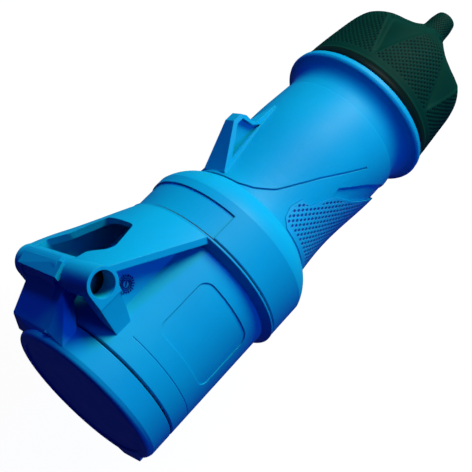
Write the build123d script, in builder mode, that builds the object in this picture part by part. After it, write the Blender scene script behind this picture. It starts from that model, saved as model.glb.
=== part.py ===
from build123d import *
import os
from math import cos, radians, sin, sqrt

# Industrial pin and sleeve connector, female, three poles, with a sprung hinged lid.
# The plug axis is X: the mouth plane is x = 0, the lid lies at x < 0 and the cable leaves at +X.
# The pieces are drawn with the hinge up, then rolled so that the connector lies on its side.

# Clearances
running_gap = 0.05
seat_gap = 0.05
lid_gap = 0.8

# Collar, the front housing's tube
collar_r = 31.0
collar_wall = 3.8
collar_bore_r = collar_r - collar_wall
mouth_edge = 0.4
socket_depth = 38.0
floor_thickness = 2.5
witness_line_x = 8.05
witness_line = 0.2
flange_height = 3.6
flange_r = collar_r + flange_height
flange_foot_x = 47.5
flange_rim_x = 50.1
flange_back_x = 50.8
spigot_r = collar_r - 1.4
spigot_wall = 2.6
spigot_length = 10.0
rear_bore_r = spigot_r - spigot_wall

# The flange and the lock ring are round about an axis that lies this much nearer the hinge
ring_rise = 0.7
label_x = (15.6, 40.6)
label_half_angle = 28.5
label_depth = 0.4
label_corner = 4.0
keyway_half = 3.0
keyway_depth = 1.9
key_bulge_half = 5.5
key_bulge_height = 1.1
key_bulge_length = 11.0

# Hinge fork
hinge_x = 10.55
hinge_rise = 9.0
hinge_z = collar_r + hinge_rise
barrel_r = 6.0
fork_half = 25.0
fork_plate = 2.8
fork_crown_x = 30.0
fork_crown = 2.2
spring_bore_r = 4.7
barrel_inner_y = -8.5
ear_inner_y = 19.8
web_thickness = 2.5
web_right_y = -18.7
strut_foot_x = (5.0, 9.4)
strut_root_z = 12.0
web_root_z = 20.0
window_back_x = 37.5
window_back_half = 8.0
window_bend_x = 23.7
window_bend_y = (-15.2, 13.4)

# Lid
lid_depth = 9.4
lid_crown = 2.4
lid_crown_r = collar_r - 0.8
lid_edge = 2.0
lid_face = 2.4
lid_rim_wall = 1.3
lid_rib_r = collar_r - 4.6
lid_rib_wall = 1.3
lid_dish_r = collar_r - 4.2
lid_dish_depth = 0.5
arm_y = (-5.0, 19.5)
arm_foot_x = -7.1
arm_left_edge = 1.6
arm_right_edge = 2.2
knuckle_y = (-8.2, 19.5)
knuckle_r = 5.8
hood_r = 7.2
hood_start_angle = 80.0
hood_end_angle = (138.0, 174.0)
rib_y = (-7.8, -6.8)
tab_half = 5.5
tab_foot_half = 9.0
tab_reach = 2.0
tab_thickness = 3.0
cheek_angle = 26.0
seal_height = 3.0

# Hinge pin and torsion spring
pin_r = 2.2
pin_head_y = (-17.5, -15.5)
pin_tip_y = 23.4
spring_wire = 1.0
spring_coil_r = 3.3
spring_turns = 5.0

# Contacts, 16 A, two poles and earth
socket_gap = 5.2
carrier_r = collar_bore_r - socket_gap
carrier_face_x = 3.0
carrier_flange_r = rear_bore_r - 0.3
carrier_flange = 6.0
contact_circle_r = 8.5
phase_pin_r = 2.5
earth_pin_r = 3.0
sleeve_wall = 1.4
sleeve_recess = 1.5
terminal_length = 14.0
terminal_wall = 2.3
cover_thickness = 3.0
spring_ring_x = 9.0
spring_ring_width = 5.0
spring_ring_depth = 0.7
spring_ring_split = 1.6
screw_edge = 3.1
screw_circle_r = carrier_flange_r - screw_edge
screw_r = 1.25
screw_grip = 4.5
screw_head_r = 2.4
screw_head = 1.8

# Rear housing
gasket = 0.6
ring_r = flange_r - 0.2
ring_edge = 0.4
ring_field_depth = 0.6
ring_field_end_x = 62.8
ring_field_angle = 49.5
ring_end_x = 66.4
shoulder = ((72.0, 2.7), (76.6, 7.4))
flare_foot_x = 129.5
flare_edge = 1.4
flare_x = 143.6
flare_r = 31.7
flare_rim = 1.6
handle_bore_r = 20.8
handle_bore_x = 80.0
tail_r = 25.2
tail_length = 19.5
tail_bore_r = 20.4
cage_seat_x = 150.0
cage_seat_r = 16.5

# Handle sections: place, radius, and the rise of the centre towards the hinge
handle_sections = (
    (76.0, 26.9, 0.7), (84.0, 26.3, 0.8), (92.0, 26.2, 1.1), (101.0, 26.6, 1.2),
    (111.0, 27.2, 0.8), (121.0, 27.4, 0.1), (137.0, 26.4, 0.0))

# Catch that locks the two housings, a pad on a tongue of the ring at nine o'clock
catch_x = 58.0
catch_length = 8.0
catch_half = 4.0
catch_height = 1.2
catch_slot = 0.8

# Groove round the saddle on the handle, and the recess behind its tip
saddle_path = ((76.9, 34.0), (77.2, 24.0), (79.5, 20.2), (84.5, 15.6), (101.0, 7.7), (119.5, -2.8))
groove_width = 0.6
groove_depth = 0.5
recess_depth = 0.7

# Fin, the nose behind the ring that a mating lid hooks on
fin_foot_x = 78.6
fin_foot_half = 6.2
fin_foot_z = 27.2
fin_tip_x = (94.9, 99.0)
fin_tip_z = 37.4
fin_tip_half = 2.5
fin_heel_x = 102.4
fin_heel_z = 30.4
fin_tail_x = 114.8
fin_web = 2.0
fin_rim = 1.7

# Soft grip under the handle, a little proud of the handle
grip_front_x = 77.3
grip_end_x = 127.5
grip_thickness = 1.9
grip_proud = 0.3
grip_gap = 0.05
grip_edge = (
    (grip_front_x, 4.2), (79.6, 7.4), (84.0, 8.6), (89.4, 7.2), (91.0, 3.0), (100.6, -1.2),
    (107.3, -9.6), (121.0, -21.3))

# Gland
nut_start_x = 145.9
nut_r = 30.2
nut_band = 4.0
nut_body_r = nut_r - 0.2
nut_shoulder_x = 178.0
nozzle_x = 196.0
nozzle_foot_r = 7.3
nozzle_r = 5.1
nozzle_tip_x = 208.4
nozzle_tip_r = 4.4
cable_bore_r = 3.4
nut_cone_r = 8.6
thread_gap = 0.4
flute_count = 6
flute_start_x = 152.6
flute_wide_x = 177.0
flute_half = 8.8
flute_end_half = 2.4
flute_depth = 1.0
flute_skew = 2.2
flute_lead = 0.8
flute_angle = 35.0
cage_r = 20.0
cage_wall = 3.2
cage_slits = 8
cage_slit = 1.4
grommet_bore_r = 5.0
washer_thickness = 3.0

# The connector rests on its ring, its rear flange and the hinge ear: this roll lays it down.
lying_roll = -107.5

os.makedirs("parts", exist_ok=True)
pieces = {}


def outline(points, plane=Plane.XZ):
    with BuildSketch(plane) as face:
        with BuildLine():
            Polyline(*points, close=True)
        make_face()
    return face.sketch


def on_circle(radius, angle):
    # A point of the cross-section, with the angle taken from the hinge towards the right side.
    return (-radius * sin(radians(angle)), radius * cos(radians(angle)))


# Front housing: the collar, its flange and the fork that carries the lid
with BuildPart() as label_field:
    with BuildSketch(Plane.XZ) as field:
        with Locations(((label_x[0] + label_x[1]) / 2, 0)):
            RectangleRounded(label_x[1] - label_x[0], 2 * collar_r * sin(radians(label_half_angle)), label_corner)
    extrude(amount=collar_r + 5, both=True)
    revolve(outline([
        (0, collar_r - label_depth), (0, collar_r + 1),
        (flange_foot_x, collar_r + 1), (flange_foot_x, collar_r - label_depth)]),
        axis=Axis.X, mode=Mode.INTERSECT)

with BuildPart() as fork_plate_body:
    crown_z = flange_r + ring_rise
    rim_z = sqrt(flange_r**2 - fork_half**2) + ring_rise
    crown_share = (fork_crown_x - hinge_x) / (flange_rim_x - hinge_x)
    fork_top_z = hinge_z + barrel_r
    right_z = fork_top_z + (rim_z - fork_top_z) * crown_share
    middle_z = fork_top_z + (crown_z - fork_top_z) * crown_share
    for section_x, left, crown, right in (
            (hinge_x, fork_top_z, fork_top_z + 0.02, fork_top_z),
            (fork_crown_x, right_z + fork_crown, middle_z + fork_crown / 2, right_z),
            (flange_rim_x, rim_z, crown_z, rim_z)):
        with BuildSketch(Plane.YZ.offset(section_x)):
            with BuildLine():
                ThreePointArc((-fork_half, right), (0, crown), (fork_half, left))
                Line((fork_half, left), (fork_half, left - fork_plate))
                ThreePointArc(
                    (fork_half, left - fork_plate), (0, crown - fork_plate), (-fork_half, right - fork_plate))
                Line((-fork_half, right - fork_plate), (-fork_half, right))
            make_face()
    loft()

with BuildPart() as flange:
    revolve(outline([
        (flange_foot_x, 0), (flange_foot_x, collar_r - ring_rise - 0.4), (flange_rim_x, flange_r),
        (flange_back_x, flange_r), (flange_back_x, 0)]), axis=Axis.X)

with BuildPart() as front_housing:
    revolve(outline([
        (0, 0), (0, collar_r - mouth_edge), (mouth_edge, collar_r),
        (witness_line_x - witness_line, collar_r), (witness_line_x, collar_r - witness_line),
        (witness_line_x + witness_line, collar_r), (flange_rim_x, collar_r), (flange_rim_x, spigot_r),
        (flange_back_x + spigot_length, spigot_r), (flange_back_x + spigot_length, 0)]), axis=Axis.X)
    add(flange.part.moved(Location((0, 0, ring_rise))))
    add(fork_plate_body.part)
    # Barrel on the right for the spring, thin ear on the left for the pin's tip
    for side_y in ((-fork_half, barrel_inner_y), (ear_inner_y, fork_half)):
        with BuildSketch(Plane.XZ.offset(-side_y[0])):
            with Locations((hinge_x, hinge_z)):
                Circle(barrel_r)
        extrude(amount=-(side_y[1] - side_y[0]))
    # Struts from the barrels down to the collar, and the thin webs behind them
    strut = [
        (hinge_x - barrel_r, hinge_z), (strut_foot_x[0], strut_root_z), (strut_foot_x[1], strut_root_z),
        (hinge_x + 0.72 * barrel_r, hinge_z - 0.69 * barrel_r), (hinge_x, hinge_z)]
    web_back_z = sqrt(flange_r**2 - web_right_y**2) + ring_rise
    web = [(hinge_x, fork_top_z - fork_plate / 2), (flange_rim_x, web_back_z - fork_plate / 2),
           (flange_rim_x, web_root_z), (strut_foot_x[0] + 2, web_root_z)]
    extrude(outline(strut, Plane.XZ.offset(fork_half)), amount=-(fork_half + web_right_y))
    extrude(outline(web, Plane.XZ.offset(-web_right_y)), amount=-web_thickness)
    extrude(outline(strut, Plane.XZ.offset(-ear_inner_y)), amount=-(fork_half - ear_inner_y))
    extrude(outline(web, Plane.XZ.offset(-ear_inner_y)), amount=-web_thickness)
    # Rib over the keyway at six o'clock
    with BuildSketch(Plane.YZ.offset(mouth_edge)):
        with Locations((0, -collar_r + 2)):
            Rectangle(2 * key_bulge_half, 2 * (2 + key_bulge_height))
    extrude(amount=key_bulge_length, taper=4)
    # Socket, its floor and the seat of the contact carrier
    floor_x = socket_depth + floor_thickness
    revolve(outline([
        (-5, 0), (-5, collar_bore_r + 0.6), (0, collar_bore_r + 0.6), (0.6, collar_bore_r),
        (socket_depth, collar_bore_r), (socket_depth, carrier_r + seat_gap),
        (floor_x, carrier_r + seat_gap), (floor_x, rear_bore_r),
        (flange_back_x + spigot_length + 1, rear_bore_r), (flange_back_x + spigot_length + 1, 0)]),
        axis=Axis.X, mode=Mode.SUBTRACT)
    with BuildSketch(Plane.YZ):
        with Locations((0, -collar_bore_r)):
            Rectangle(2 * keyway_half, 2 * keyway_depth)
    extrude(amount=socket_depth, mode=Mode.SUBTRACT)
    # Window in the fork's plate, open to the front for the lid's knuckle
    with BuildSketch(Plane.XY.offset(hinge_z - 7)) as window:
        with BuildLine():
            FilletPolyline(
                (0, ear_inner_y), (hinge_x + hood_r + 0.6, ear_inner_y), (window_bend_x, window_bend_y[1]),
                (window_back_x, window_back_half), (window_back_x, -window_back_half),
                (window_bend_x, window_bend_y[0]), (hinge_x + hood_r + 0.2, barrel_inner_y),
                (0, barrel_inner_y), radius=(1.5, 4, 2.5, 2.5, 4, 1.5))
            Line((0, barrel_inner_y), (0, ear_inner_y))
        make_face()
    extrude(amount=20, mode=Mode.SUBTRACT)
    # Bores for the spring and the pin
    with BuildSketch(Plane.XZ.offset(fork_half)):
        with Locations((hinge_x, hinge_z)):
            Circle(spring_bore_r)
    extrude(amount=-(fork_half + barrel_inner_y), mode=Mode.SUBTRACT)
    with BuildSketch(Plane.XZ.offset(-ear_inner_y)):
        with Locations((hinge_x, hinge_z)):
            Circle(pin_r + running_gap)
    extrude(amount=-(pin_tip_y - ear_inner_y + 0.3), mode=Mode.SUBTRACT)
    add(label_field.part, mode=Mode.SUBTRACT)
pieces["front_housing"] = front_housing

# Lid: a shallow cap on an arm that ends in the hinge knuckle
rim_x = -lid_gap
lid_front_x = -lid_depth - lid_crown


def round_hinge(radius, angle):
    # A point of the side view, with the angle taken round the hinge from the cable end over the top.
    return (hinge_x + radius * cos(radians(angle)), hinge_z + radius * sin(radians(angle)))


with BuildPart() as arm:
    arm_face = [(arm_foot_x, collar_r), (hinge_x - knuckle_r + 0.2, hinge_z + 0.6)]
    extrude(outline([
        (arm_foot_x - 0.5, collar_r - 2), *arm_face, (hinge_x, hinge_z + 2), (hinge_x - 1.0, hinge_z - 5.4),
        (rim_x + 0.8, collar_r + 0.9), (rim_x, collar_r + 0.6), (rim_x, collar_r - 5)],
        Plane.XZ.offset(-arm_y[0])), amount=-(arm_y[1] - arm_y[0]))
    # Its front edges are bevelled, the right one more
    arm_middle = ((arm_face[0][0] + arm_face[1][0]) / 2, (arm_face[0][1] + arm_face[1][1]) / 2)
    for edge_y, width in ((arm_y[1], arm_left_edge), (arm_y[0], arm_right_edge)):
        chamfer(arm.edges().sort_by_distance((arm_middle[0], edge_y, arm_middle[1]))[0], width)

# Hood that sheds water in front of the knuckle: its edge drops from the left to the right
with BuildPart() as hood:
    for edge_y, end_angle in ((arm_y[1], hood_end_angle[0]), (arm_y[0], hood_end_angle[1])):
        with BuildSketch(Plane.XZ.offset(-edge_y)):
            with BuildLine():
                Line((hinge_x, hinge_z), round_hinge(hood_r, hood_start_angle))
                ThreePointArc(
                    round_hinge(hood_r, hood_start_angle), round_hinge(hood_r, (hood_start_angle + end_angle) / 2),
                    round_hinge(hood_r, end_angle))
                Line(round_hinge(hood_r, end_angle), (hinge_x, hinge_z))
            make_face()
    loft()

with BuildPart() as lid:
    with BuildSketch(Plane.XZ):
        with BuildLine():
            FilletPolyline(
                (lid_front_x, 0), (lid_front_x, lid_crown_r), (-lid_depth, collar_r), (rim_x, collar_r),
                (rim_x, 0), radius=(lid_edge, 0.8, 0.2))
            Line((rim_x, 0), (lid_front_x, 0))
        make_face()
    revolve(axis=Axis.X)
    # Flat beside the arm, tangent to the rim
    cheek = on_circle(collar_r, cheek_angle)
    cheek_top = cheek[1] + (cheek[0] - arm_y[0]) * -sin(radians(cheek_angle)) / cos(radians(cheek_angle))
    extrude(outline([
        cheek, (arm_y[0], cheek_top), (arm_y[0], collar_r - 11), (cheek[0], collar_r - 11)],
        Plane.YZ.offset(-lid_depth + 0.4)), amount=lid_depth - 3.0)
    add(arm.part)
    with BuildSketch(Plane.XZ.offset(-knuckle_y[0])):
        with Locations((hinge_x, hinge_z)):
            Circle(knuckle_r)
    extrude(amount=-(knuckle_y[1] - knuckle_y[0]))
    add(hood.part)
    # Thin rib between the arm and the barrel
    extrude(outline([
        (rim_x - 4.4, collar_r - 3), (rim_x - 3.4, collar_r + 1.6), (hinge_x - knuckle_r + 1, hinge_z),
        (hinge_x, hinge_z), (hinge_x - 2, hinge_z - 5), (rim_x, collar_r + 0.6), (rim_x, collar_r - 3)],
        Plane.XZ.offset(-rib_y[0])), amount=-(rib_y[1] - rib_y[0]))
    # Pull tab at six o'clock
    with BuildSketch(Plane.YZ.offset(lid_front_x + 0.6)):
        with BuildLine():
            FilletPolyline(
                (-tab_foot_half, -collar_r + 3), (-tab_half, -collar_r - tab_reach),
                (tab_half, -collar_r - tab_reach), (tab_foot_half, -collar_r + 3), radius=2.4)
            Line((tab_foot_half, -collar_r + 3), (-tab_foot_half, -collar_r + 3))
        make_face()
    extrude(amount=tab_thickness)
    # Inside: the seal's groove and the rib that holds the seal
    revolve(outline([
        (rim_x, collar_r - lid_rim_wall), (rim_x - seal_height, collar_r - lid_rim_wall),
        (rim_x - seal_height, lid_rib_r), (rim_x - 0.8, lid_rib_r), (rim_x - 0.8, lid_rib_r - lid_rib_wall),
        (lid_front_x + lid_face, lid_rib_r - lid_rib_wall), (lid_front_x + lid_face, 0), (1, 0),
        (1, collar_r - lid_rim_wall)]), axis=Axis.X, mode=Mode.SUBTRACT)
    # Shallow dish in the face
    with BuildSketch(Plane.YZ.offset(lid_front_x)):
        Circle(lid_dish_r)
    extrude(amount=lid_dish_depth, mode=Mode.SUBTRACT)
    with BuildSketch(Plane.XZ.offset(-knuckle_y[0])):
        with Locations((hinge_x, hinge_z)):
            Circle(pin_r + running_gap)
    extrude(amount=-(knuckle_y[1] - knuckle_y[0]), mode=Mode.SUBTRACT)
pieces["lid"] = lid

seal_outer_r = collar_r - lid_rim_wall - seat_gap
with BuildPart() as lid_seal:
    revolve(outline([
        (rim_x - seal_height + seat_gap, lid_rib_r + seat_gap), (rim_x - seal_height + seat_gap, seal_outer_r),
        (rim_x + 0.2, seal_outer_r), (-0.2, seal_outer_r - 0.8), (-0.2, collar_bore_r + 0.5),
        (rim_x - 0.8, lid_rib_r + seat_gap)]), axis=Axis.X)
pieces["lid_seal"] = lid_seal

# Hinge pin with its head inside the right barrel
with BuildPart() as hinge_pin:
    with BuildSketch(Plane.XZ.offset(-pin_head_y[0])):
        with Locations((hinge_x, hinge_z)):
            Circle(pin_r)
    extrude(amount=-(pin_tip_y - pin_head_y[0]))
    with BuildSketch(Plane.XZ.offset(-pin_head_y[0])):
        with Locations((hinge_x, hinge_z)):
            Circle(spring_bore_r - running_gap)
    extrude(amount=-(pin_head_y[1] - pin_head_y[0]))
    chamfer(hinge_pin.faces().sort_by(Axis.Y)[-1].edges(), 0.5)
pieces["hinge_pin"] = hinge_pin

# Torsion spring round the pin, between its head and the knuckle
spring_start_y = pin_head_y[1] + spring_wire / 2 + 0.25
spring_end_y = knuckle_y[0] - spring_wire / 2 - 0.45
with BuildPart() as lid_spring:
    with BuildLine() as coil:
        Helix(
            pitch=(spring_end_y - spring_start_y) / spring_turns, height=spring_end_y - spring_start_y,
            radius=spring_coil_r, center=(hinge_x, spring_start_y, hinge_z), direction=(0, 1, 0))
    with BuildSketch(Plane(coil.wire() @ 0, z_dir=coil.wire() % 0)):
        Circle(spring_wire / 2)
    sweep()
pieces["lid_spring"] = lid_spring

# Contact carrier, with three sleeves of brass from the face to the terminals
contact_angles = {"earth": 180.0, "line": 60.0, "neutral": 300.0}
carrier_end_x = floor_x + carrier_flange
terminal_x = carrier_end_x - 1.0
pin_radius = {"earth": earth_pin_r, "line": phase_pin_r, "neutral": phase_pin_r}

with BuildPart() as contact_carrier:
    revolve(outline([
        (carrier_face_x, 0), (carrier_face_x, carrier_r - 0.6), (carrier_face_x + 0.6, carrier_r),
        (floor_x + seat_gap, carrier_r), (floor_x + seat_gap, carrier_flange_r),
        (carrier_end_x, carrier_flange_r), (carrier_end_x, 0)]), axis=Axis.X)
    for name, angle in contact_angles.items():
        with BuildSketch(Plane.YZ.offset(carrier_face_x)):
            with Locations(on_circle(contact_circle_r, angle)):
                Circle(pin_radius[name] + 0.5)
        extrude(amount=carrier_end_x, mode=Mode.SUBTRACT)
        with BuildSketch(Plane.YZ.offset(carrier_face_x + sleeve_recess)):
            with Locations(on_circle(contact_circle_r, angle)):
                Circle(pin_radius[name] + sleeve_wall + seat_gap)
        extrude(amount=carrier_end_x, mode=Mode.SUBTRACT)
        with BuildSketch(Plane.YZ.offset(terminal_x - 6)):
            with Locations(on_circle(contact_circle_r, angle)):
                Circle(pin_radius[name] + terminal_wall + seat_gap)
        extrude(amount=10, mode=Mode.SUBTRACT)
    with BuildSketch(Plane.YZ.offset(carrier_end_x)):
        with Locations(on_circle(screw_circle_r, 90), on_circle(screw_circle_r, 270)):
            Circle(screw_r + seat_gap)
    extrude(amount=-(screw_grip + 0.5), mode=Mode.SUBTRACT)
pieces["contact_carrier"] = contact_carrier

for name, angle in contact_angles.items():
    bore_r = pin_radius[name] + running_gap
    centre = on_circle(contact_circle_r, angle)
    with BuildPart() as sleeve:
        with BuildSketch(Plane.YZ.offset(carrier_face_x + sleeve_recess + seat_gap)):
            with Locations(centre):
                Circle(pin_radius[name] + sleeve_wall)
        extrude(amount=terminal_x - carrier_face_x - sleeve_recess)
        with BuildSketch(Plane.YZ.offset(terminal_x - 6 + seat_gap)):
            with Locations(centre):
                Circle(pin_radius[name] + terminal_wall)
        extrude(amount=6 + terminal_length)
        with BuildSketch(Plane.YZ.offset(carrier_face_x + sleeve_recess + seat_gap)):
            with Locations(centre):
                Circle(bore_r)
        extrude(amount=35, mode=Mode.SUBTRACT)
        with BuildSketch(Plane.YZ.offset(terminal_x + terminal_length)):
            with Locations(centre):
                Circle(pin_radius[name])
        extrude(amount=-11, mode=Mode.SUBTRACT)
        # Hole of the terminal screw, facing out from the axis
        screw_plane = Plane(
            origin=(terminal_x + terminal_length - 4.5, centre[0], centre[1]),
            x_dir=(1, 0, 0), z_dir=(0, centre[0], centre[1]))
        with BuildSketch(screw_plane):
            Circle(1.75)
        extrude(amount=10, mode=Mode.SUBTRACT)
        # Groove of the spring ring that closes the sleeve on the pin
        outer_r = pin_radius[name] + sleeve_wall
        with BuildSketch(Plane.YZ.offset(spring_ring_x)):
            with Locations(centre):
                Circle(outer_r + 1)
                Circle(outer_r - spring_ring_depth, mode=Mode.SUBTRACT)
        extrude(amount=spring_ring_width, mode=Mode.SUBTRACT)
    pieces["contact_sleeve_" + name] = sleeve

# One split ring of spring steel round each sleeve
with BuildPart() as contact_springs:
    with BuildSketch(Plane.YZ.offset(spring_ring_x + seat_gap)):
        for name, angle in contact_angles.items():
            outer_r = pin_radius[name] + sleeve_wall
            centre = on_circle(contact_circle_r, angle)
            with Locations(centre):
                Circle(outer_r)
                Circle(outer_r - spring_ring_depth + seat_gap, mode=Mode.SUBTRACT)
            with Locations(on_circle(contact_circle_r + outer_r, angle)):
                Rectangle(spring_ring_split, spring_ring_split, mode=Mode.SUBTRACT)
    extrude(amount=spring_ring_width - 2 * seat_gap)
pieces["contact_springs"] = contact_springs

with BuildPart() as terminal_screws:
    for name, angle in contact_angles.items():
        centre = on_circle(contact_circle_r, angle)
        reach = pin_radius[name] + terminal_wall
        for start, length, radius in ((1.2, reach + 1.0 - 1.2, 1.7), (reach + 0.1, 1.8, 2.6)):
            with BuildSketch(Plane(
                    origin=(terminal_x + terminal_length - 4.5, centre[0], centre[1]),
                    x_dir=(1, 0, 0), z_dir=(0, centre[0], centre[1])).offset(start)):
                Circle(radius)
            extrude(amount=length)
pieces["terminal_screws"] = terminal_screws

with BuildPart() as carrier_cover:
    with BuildSketch(Plane.YZ.offset(carrier_end_x + seat_gap)):
        Circle(carrier_flange_r)
        for name, angle in contact_angles.items():
            with Locations(on_circle(contact_circle_r, angle)):
                Circle(pin_radius[name] + terminal_wall + seat_gap, mode=Mode.SUBTRACT)
        with Locations(on_circle(screw_circle_r, 90), on_circle(screw_circle_r, 270)):
            Circle(screw_r + 0.35, mode=Mode.SUBTRACT)
    extrude(amount=cover_thickness)
pieces["carrier_cover"] = carrier_cover

with BuildPart() as carrier_screws:
    head_x = carrier_end_x + cover_thickness + 2 * seat_gap
    with BuildSketch(Plane.YZ.offset(head_x + screw_head)):
        with Locations(on_circle(screw_circle_r, 90), on_circle(screw_circle_r, 270)):
            Circle(screw_head_r)
    extrude(amount=-screw_head)
    with BuildSketch(Plane.YZ.offset(head_x + screw_head)):
        with Locations(on_circle(screw_circle_r, 90), on_circle(screw_circle_r, 270)):
            Circle(screw_r)
    extrude(amount=-(screw_head + cover_thickness + screw_grip))
pieces["carrier_screws"] = carrier_screws

# Flat gasket between the two housings, seen as a thin black line
ring_start_x = flange_back_x + gasket
with BuildPart() as body_gasket:
    with BuildSketch(Plane.YZ.offset(flange_back_x)):
        with Locations((0, ring_rise)):
            Circle(flange_r - 0.7)
        Circle(spigot_r + 0.1, mode=Mode.SUBTRACT)
    extrude(amount=gasket)
pieces["body_gasket"] = body_gasket


# Rear housing: lock ring, waisted handle with the saddle's groove, flared end and threaded tail
def handle_sketches(inset):
    # The sections of the handle, drawn smaller by an inset.
    sketches = []
    for x, radius, rise in handle_sections:
        with BuildSketch(Plane.YZ.offset(x)) as section:
            with Locations((0, rise)):
                Circle(radius - inset)
        sketches.append(section.sketch)
    return sketches


with BuildPart() as handle:
    loft(handle_sketches(0))

with BuildPart() as saddle_groove:
    with BuildSketch(Plane.XZ):
        with BuildLine():
            FilletPolyline(*saddle_path, radius=(1.0, 3.0, 6.0, 20.0))
        trace(line_width=groove_width)
    extrude(amount=45, both=True)
    loft(handle_sketches(groove_depth), mode=Mode.SUBTRACT)

with BuildPart() as recess:
    extrude(outline([
        (104.5, -0.2), (116.7, -9.1), (124.1, -15.7), (flare_foot_x + 1, -22.8),
        (flare_foot_x + 1, -30.0), (125.0, -30.0), (100.6, -1.2)]),
        amount=45, both=True)
    loft(handle_sketches(recess_depth), mode=Mode.SUBTRACT)

# Fin, with a blind pocket on each side
with BuildPart() as fin:
    extrude(outline([
        (fin_foot_x, fin_foot_z - 4), (fin_foot_x, fin_foot_z), (fin_tip_x[0], fin_tip_z),
        (fin_tip_x[1], fin_tip_z), (fin_tip_x[1] + 1.6, fin_tip_z - 1.9), (fin_heel_x - 0.6, fin_heel_z + 0.8),
        (fin_heel_x + 0.8, fin_heel_z), (fin_tail_x, fin_foot_z + 1.6), (fin_tail_x, fin_foot_z - 4)]),
        amount=fin_foot_half, both=True)
    # Plan view: a wedge that runs out towards the tail
    extrude(outline([
        (fin_foot_x, -fin_foot_half), (fin_foot_x, fin_foot_half), (fin_tail_x, 0.5), (fin_tail_x, -0.5)],
        Plane.XY), amount=60, mode=Mode.INTERSECT)
    # Front view: the sides lean in towards the tip
    extrude(outline([
        (-fin_foot_half, 20), (fin_foot_half, 20), (fin_foot_half, fin_foot_z), (fin_tip_half, fin_tip_z + 0.1),
        (-fin_tip_half, fin_tip_z + 0.1), (-fin_foot_half, fin_foot_z)], Plane.YZ), amount=200, mode=Mode.INTERSECT)

# The pocket runs below the rim at the fin's foot, down into the handle
pocket_floor_z = fin_foot_z - 1.2
with BuildPart() as fin_pocket:
    with BuildSketch(Plane.XY.offset(pocket_floor_z)):
        with BuildLine():
            Polyline(
                (fin_foot_x, fin_foot_half - fin_rim), (fin_tail_x - 7, 0.5), (fin_tail_x - 7, -0.5),
                (fin_foot_x, fin_rim - fin_foot_half), close=True)
        make_face()
    extrude(amount=fin_foot_z + 1.0 - pocket_floor_z)
    with BuildSketch(Plane.XY.offset(fin_foot_z + 1.0)):
        with Locations(((fin_foot_x + fin_tail_x) / 2, 0)):
            Rectangle(fin_tail_x - fin_foot_x, 4 * fin_foot_half)
    extrude(amount=fin_tip_z - fin_foot_z)
    extrude(outline([
        (fin_foot_x + 3.2 * fin_rim, pocket_floor_z), (fin_foot_x + 3.4 * fin_rim, fin_foot_z + 0.8),
        (fin_tip_x[0] + 0.4, fin_tip_z - fin_rim), (fin_tip_x[1] - 0.5, fin_tip_z - fin_rim),
        (fin_heel_x - fin_rim, fin_heel_z + 0.4), (fin_heel_x + fin_rim, fin_foot_z + 1.0),
        (fin_heel_x + fin_rim, pocket_floor_z)]), amount=2 * fin_foot_half, both=True, mode=Mode.INTERSECT)
    with BuildSketch(Plane.XZ) as fin_middle:
        with Locations(((fin_foot_x + fin_tail_x) / 2, fin_foot_z)):
            Rectangle(60, 60)
    extrude(amount=fin_web / 2, both=True, mode=Mode.SUBTRACT)

# Soft grip that wraps the belly of the handle
grip_side = [*grip_edge, (grip_end_x, grip_edge[-1][1] - 5.7), (grip_end_x, -40), (grip_front_x, -40)]
with BuildPart() as grip:
    loft(handle_sketches(-grip_proud))
    extrude(outline(grip_side), amount=45, both=True, mode=Mode.INTERSECT)
    loft(handle_sketches(grip_thickness), mode=Mode.SUBTRACT)

with BuildPart() as grip_pocket:
    with BuildSketch(Plane.XZ):
        add(outline(grip_side))
        offset(amount=grip_gap)
    extrude(amount=45, both=True)
    loft(handle_sketches(grip_thickness + grip_gap), mode=Mode.SUBTRACT)

with BuildPart() as ring_field:
    revolve(outline([
        (ring_start_x - 1, ring_r - ring_field_depth), (ring_start_x - 1, ring_r + 2),
        (ring_field_end_x, ring_r + 2), (ring_field_end_x, ring_r - ring_field_depth)]), axis=Axis.X)
    with BuildSketch(Plane.XY):
        with Locations((ring_start_x + 10, 0)):
            Rectangle(40, 2 * ring_r * sin(radians(ring_field_angle)))
    extrude(amount=60, mode=Mode.INTERSECT)

with BuildPart() as lock_ring:
    with BuildSketch(Plane.XZ):
        with BuildLine():
            shoulder_end = (shoulder[1][0], ring_r - shoulder[1][1])
            Polyline((ring_start_x, 0), (ring_start_x, ring_r - ring_edge), (ring_start_x + ring_edge, ring_r),
                     (ring_end_x, ring_r))
            ThreePointArc((ring_end_x, ring_r), (shoulder[0][0], ring_r - shoulder[0][1]), shoulder_end)
            Polyline(shoulder_end, (shoulder_end[0], 0), (ring_start_x, 0))
        make_face()
    revolve(axis=Axis.X)
    add(ring_field.part, mode=Mode.SUBTRACT)

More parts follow.
